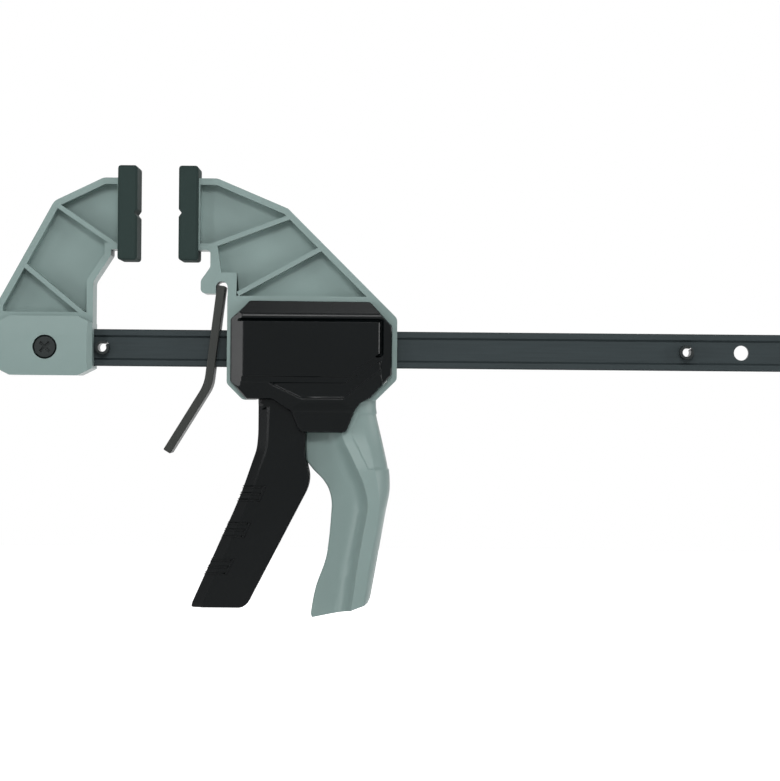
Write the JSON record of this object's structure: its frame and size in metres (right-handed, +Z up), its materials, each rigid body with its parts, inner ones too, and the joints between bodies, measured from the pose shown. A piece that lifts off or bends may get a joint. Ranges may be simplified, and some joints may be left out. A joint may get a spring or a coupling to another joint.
{
  "type": "quick release bar clamp",
  "caption": "Trigger-fed bar clamp: a fixed jaw and a sliding jaw with handle, trigger and brake lever on a steel bar.",
  "frame": {"origin": "centre of the free hole in the bar, the one that takes the fixed jaw for spreading", "axes": "+X along the bar from the fixed jaw to the free end, +Y across the bar along the hole's axis, +Z up towards the pads"},
  "size_m": [0.3926, 0.0336, 0.224],
  "materials": {
    "grey_plastic": "fine moulded texture, satin",
    "black_plastic": "moulded, semi-gloss",
    "pad_rubber": "matte soft moulding",
    "bar_steel": "rolled and blackened, satin",
    "lever_steel": "stamped and blackened",
    "black_screw": "black oxide",
    "spring_steel": "drawn wire",
    "plated_steel": "zinc plated"
  },
  "bodies": {
    "bar": {"bar": "bar_steel", "stop_pin_front": "bar_steel", "stop_pin_rear": "bar_steel", "fixed_jaw": "grey_plastic", "jaw_screw": "black_screw", "jaw_nut": "plated_steel", "fixed_pad": "pad_rubber"},
    "carriage": {"jaw_body": "grey_plastic", "moving_pad": "pad_rubber", "cover_front": "black_plastic", "cover_back": "black_plastic", "cover_screws": "black_screw", "trigger_pin": "plated_steel", "drive_spring": "spring_steel", "brake_spring": "spring_steel"},
    "trigger": {"trigger": "black_plastic"},
    "drive_plates": {"drive_plate_1": "plated_steel", "drive_plate_2": "plated_steel", "drive_plate_3": "plated_steel"},
    "brake_lever": {"brake_lever": "lever_steel"}
  },
  "joints": [
    {"name": "jaw_slide", "type": "slide", "parent": "bar", "child": "carriage", "axis": [1, 0, 0], "range_m": [-0.0203, 0.1405]},
    {"name": "trigger_pull", "type": "hinge", "parent": "carriage", "child": "trigger", "pos_m": [-0.223, 0, 0.0157], "axis": [0, -1, 0], "range_deg": [0, 14], "stiffness_Nm_per_rad": 0.6, "springref_deg": -17.19},
    {"name": "plate_feed", "type": "slide", "parent": "carriage", "child": "drive_plates", "axis": [1, 0, 0], "range_m": [0, 0.0045], "deforming": ["drive_spring"]},
    {"name": "brake_release", "type": "hinge", "parent": "carriage", "child": "brake_lever", "pos_m": [-0.2593, 0, 0.0304], "axis": [0, -1, 0], "range_deg": [0, 7], "stiffness_Nm_per_rad": 0.3, "springref_deg": -11.46, "deforming": ["brake_spring"]}
  ],
  "couplings": [
    {"joint": "plate_feed", "follows": "trigger_pull", "m_per_rad": 0.0179}
  ]
}
